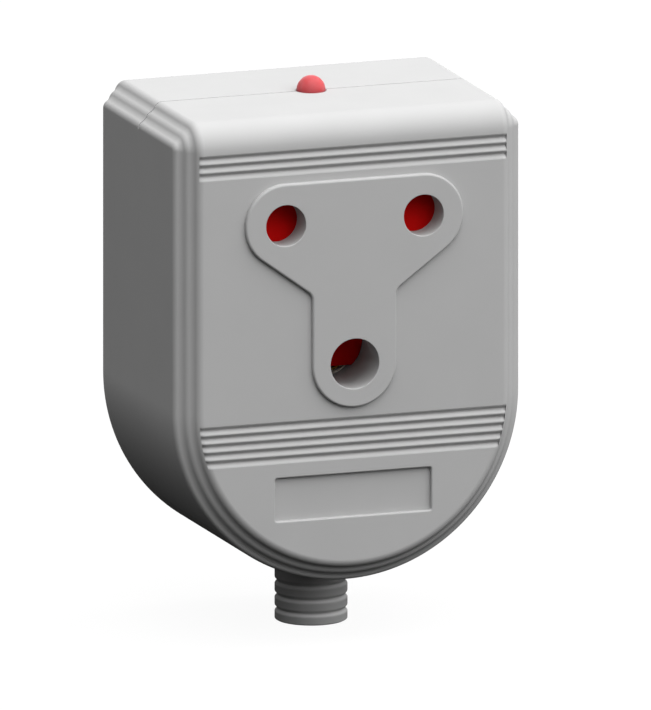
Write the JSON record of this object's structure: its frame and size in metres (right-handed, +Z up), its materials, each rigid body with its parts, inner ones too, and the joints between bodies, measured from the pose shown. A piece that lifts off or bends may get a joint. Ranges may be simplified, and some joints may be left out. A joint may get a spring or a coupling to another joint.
{
  "type": "trailing socket",
  "caption": "Cord-mounted socket for round three-pin plugs: grey two-part shell, red shutter behind the pin holes, red lamp in the top and a ribbed cord sleeve below.",
  "frame": {"origin": "middle of the cord sleeve's mouth, the lowest point of the part", "axes": "+Z up along the cord sleeve to the flat top, -Y out of the face with the pin holes, +X to the right as seen from the front; the seam between the shells is at Y = 0"},
  "size_m": [0.0638, 0.0454, 0.0967],
  "materials": {
    "shell_plastic": "moulded grey, satin",
    "shutter_plastic": "moulded red",
    "block_plastic": "moulded cream",
    "contact_brass": "turned",
    "clip_steel": "spring steel",
    "screw_steel": "zinc plated",
    "lamp_lens": "clear red resin",
    "lead_tin": "tinned wire",
    "board_laminate": "green laminate",
    "resistor_body": "lacquered",
    "diode_body": "moulded black",
    "wire_brown": "brown sleeve",
    "wire_blue": "blue sleeve",
    "sleeve_rubber": "moulded grey",
    "clamp_steel": "pressed steel"
  },
  "bodies": {
    "housing": {"front_shell": "shell_plastic", "rear_shell": "shell_plastic", "shutter_spring": "clip_steel", "contact_block": "block_plastic", "live_contact": "contact_brass", "neutral_contact": "contact_brass", "earth_contact": "contact_brass", "live_clip": "clip_steel", "neutral_clip": "clip_steel", "earth_clip": "clip_steel", "terminal_screws": "screw_steel", "block_screws": "screw_steel", "indicator_lamp": "lamp_lens", "lamp_leads": "lead_tin", "lamp_board": "board_laminate", "lamp_resistor": "resistor_body", "lamp_diode": "diode_body", "live_link": "wire_brown", "neutral_link": "wire_blue", "cord_sleeve": "sleeve_rubber", "cord_clamp": "clamp_steel", "clamp_screws": "screw_steel", "housing_screws": "screw_steel"},
    "shutter": {"shutter": "shutter_plastic"}
  },
  "joints": [
    {"name": "shutter_slide", "type": "slide", "parent": "housing", "child": "shutter", "axis": [0, 0, 1], "range_m": [0, 0.0083], "stiffness_N_per_m": 100, "springref_m": -0.006, "deforming": ["shutter_spring"]}
  ]
}
